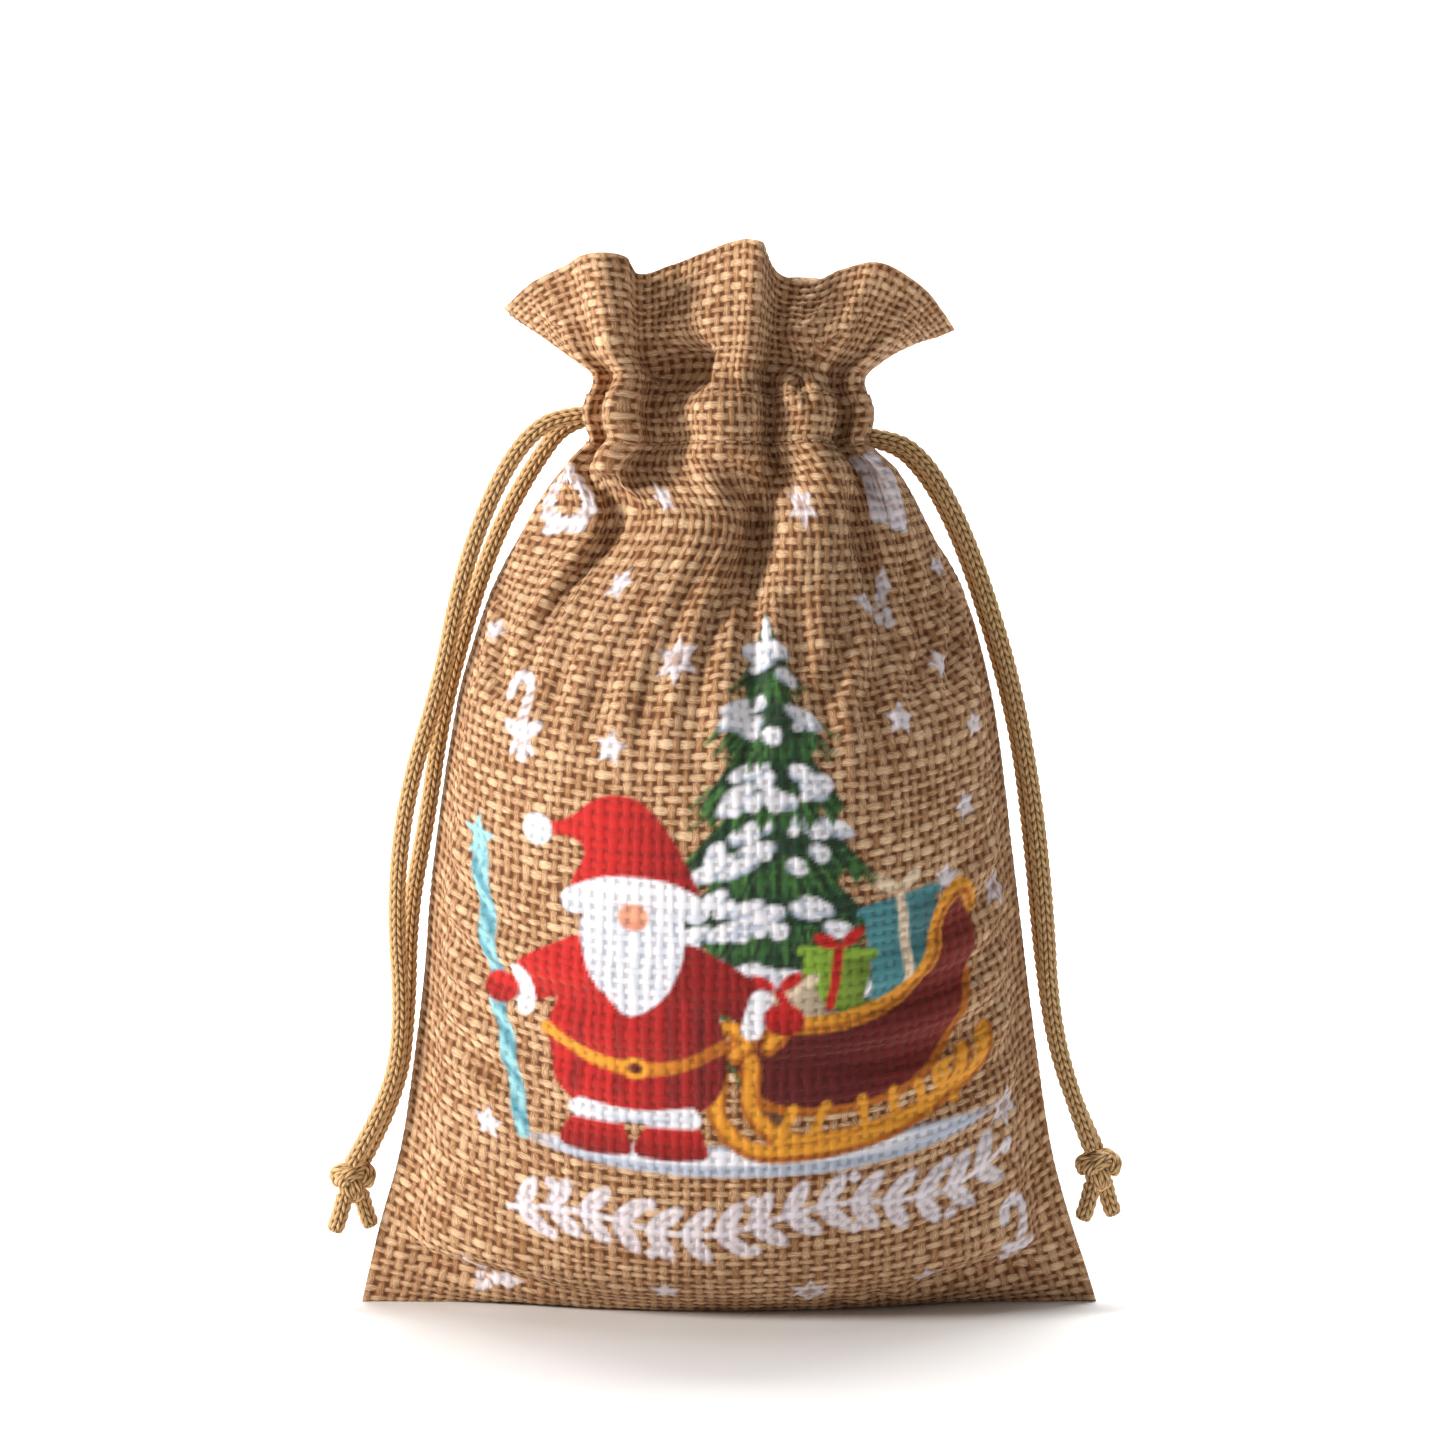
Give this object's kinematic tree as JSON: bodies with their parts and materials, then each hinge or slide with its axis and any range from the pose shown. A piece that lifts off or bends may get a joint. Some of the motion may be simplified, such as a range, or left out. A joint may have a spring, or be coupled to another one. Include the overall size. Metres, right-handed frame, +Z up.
{
  "type": "fabric gift sack",
  "caption": "Small coarse-cloth drawstring gift sack, standing filled, cinched under a flared ruffle by two drawcords with knotted ends.",
  "frame": {"origin": "middle of the flat base, on the surface the sack stands on", "axes": "+Z up along the height; the printed front faces -Y; +X to the right seen from the front"},
  "size_m": [0.1078, 0.0472, 0.142],
  "materials": {
    "printed_cloth": "coarse natural plain weave with a printed picture",
    "plain_cloth": "coarse natural plain weave",
    "seam_thread": "matte cotton thread",
    "drawcord": "matte braided cotton cord"
  },
  "bodies": {
    "sack": {"front_panel": "printed_cloth", "back_panel": "plain_cloth", "front_casing": "plain_cloth", "back_casing": "plain_cloth", "left_seam_allowance": "plain_cloth", "right_seam_allowance": "plain_cloth", "bottom_seam_allowance": "plain_cloth", "left_seam_stitches": "seam_thread", "right_seam_stitches": "seam_thread", "bottom_seam_stitches": "seam_thread", "front_casing_stitches": "seam_thread", "back_casing_stitches": "seam_thread", "left_cord_in_casing": "drawcord", "right_cord_in_casing": "drawcord"},
    "left_pull": {"left_front_exit": "drawcord", "left_back_exit": "drawcord"},
    "left_hang": {"left_front_strand": "drawcord", "left_back_strand": "drawcord", "left_knot": "drawcord", "left_front_tail": "drawcord", "left_back_tail": "drawcord"},
    "right_pull": {"right_front_exit": "drawcord", "right_back_exit": "drawcord"},
    "right_hang": {"right_front_strand": "drawcord", "right_back_strand": "drawcord", "right_knot": "drawcord", "right_front_tail": "drawcord", "right_back_tail": "drawcord"},
    "front_mouth": {"front_ruffle": "plain_cloth", "front_facing": "plain_cloth"},
    "back_mouth": {"back_ruffle": "plain_cloth", "back_facing": "plain_cloth"}
  },
  "joints": [
    {"name": "left_cord_pull", "type": "slide", "parent": "sack", "child": "left_pull", "axis": [-1, 0, 0], "range_m": [0, 0.003]},
    {"name": "left_cord_swing", "type": "hinge", "parent": "left_pull", "child": "left_hang", "pos_m": [-0.0213, 0, 0.1198], "axis": [0, 1, 0], "range_deg": [0, 50]},
    {"name": "right_cord_pull", "type": "slide", "parent": "sack", "child": "right_pull", "axis": [1, 0, 0], "range_m": [0, 0.003]},
    {"name": "right_cord_swing", "type": "hinge", "parent": "right_pull", "child": "right_hang", "pos_m": [0.0213, 0, 0.1168], "axis": [0, -1, 0], "range_deg": [0, 50]},
    {"name": "front_mouth_open", "type": "hinge", "parent": "sack", "child": "front_mouth", "pos_m": [0, -0.0124, 0.1238], "axis": [1, 0, 0], "range_deg": [0, 16]},
    {"name": "back_mouth_open", "type": "hinge", "parent": "sack", "child": "back_mouth", "pos_m": [0, 0.0124, 0.1238], "axis": [-1, 0, 0], "range_deg": [0, 16]}
  ]
}
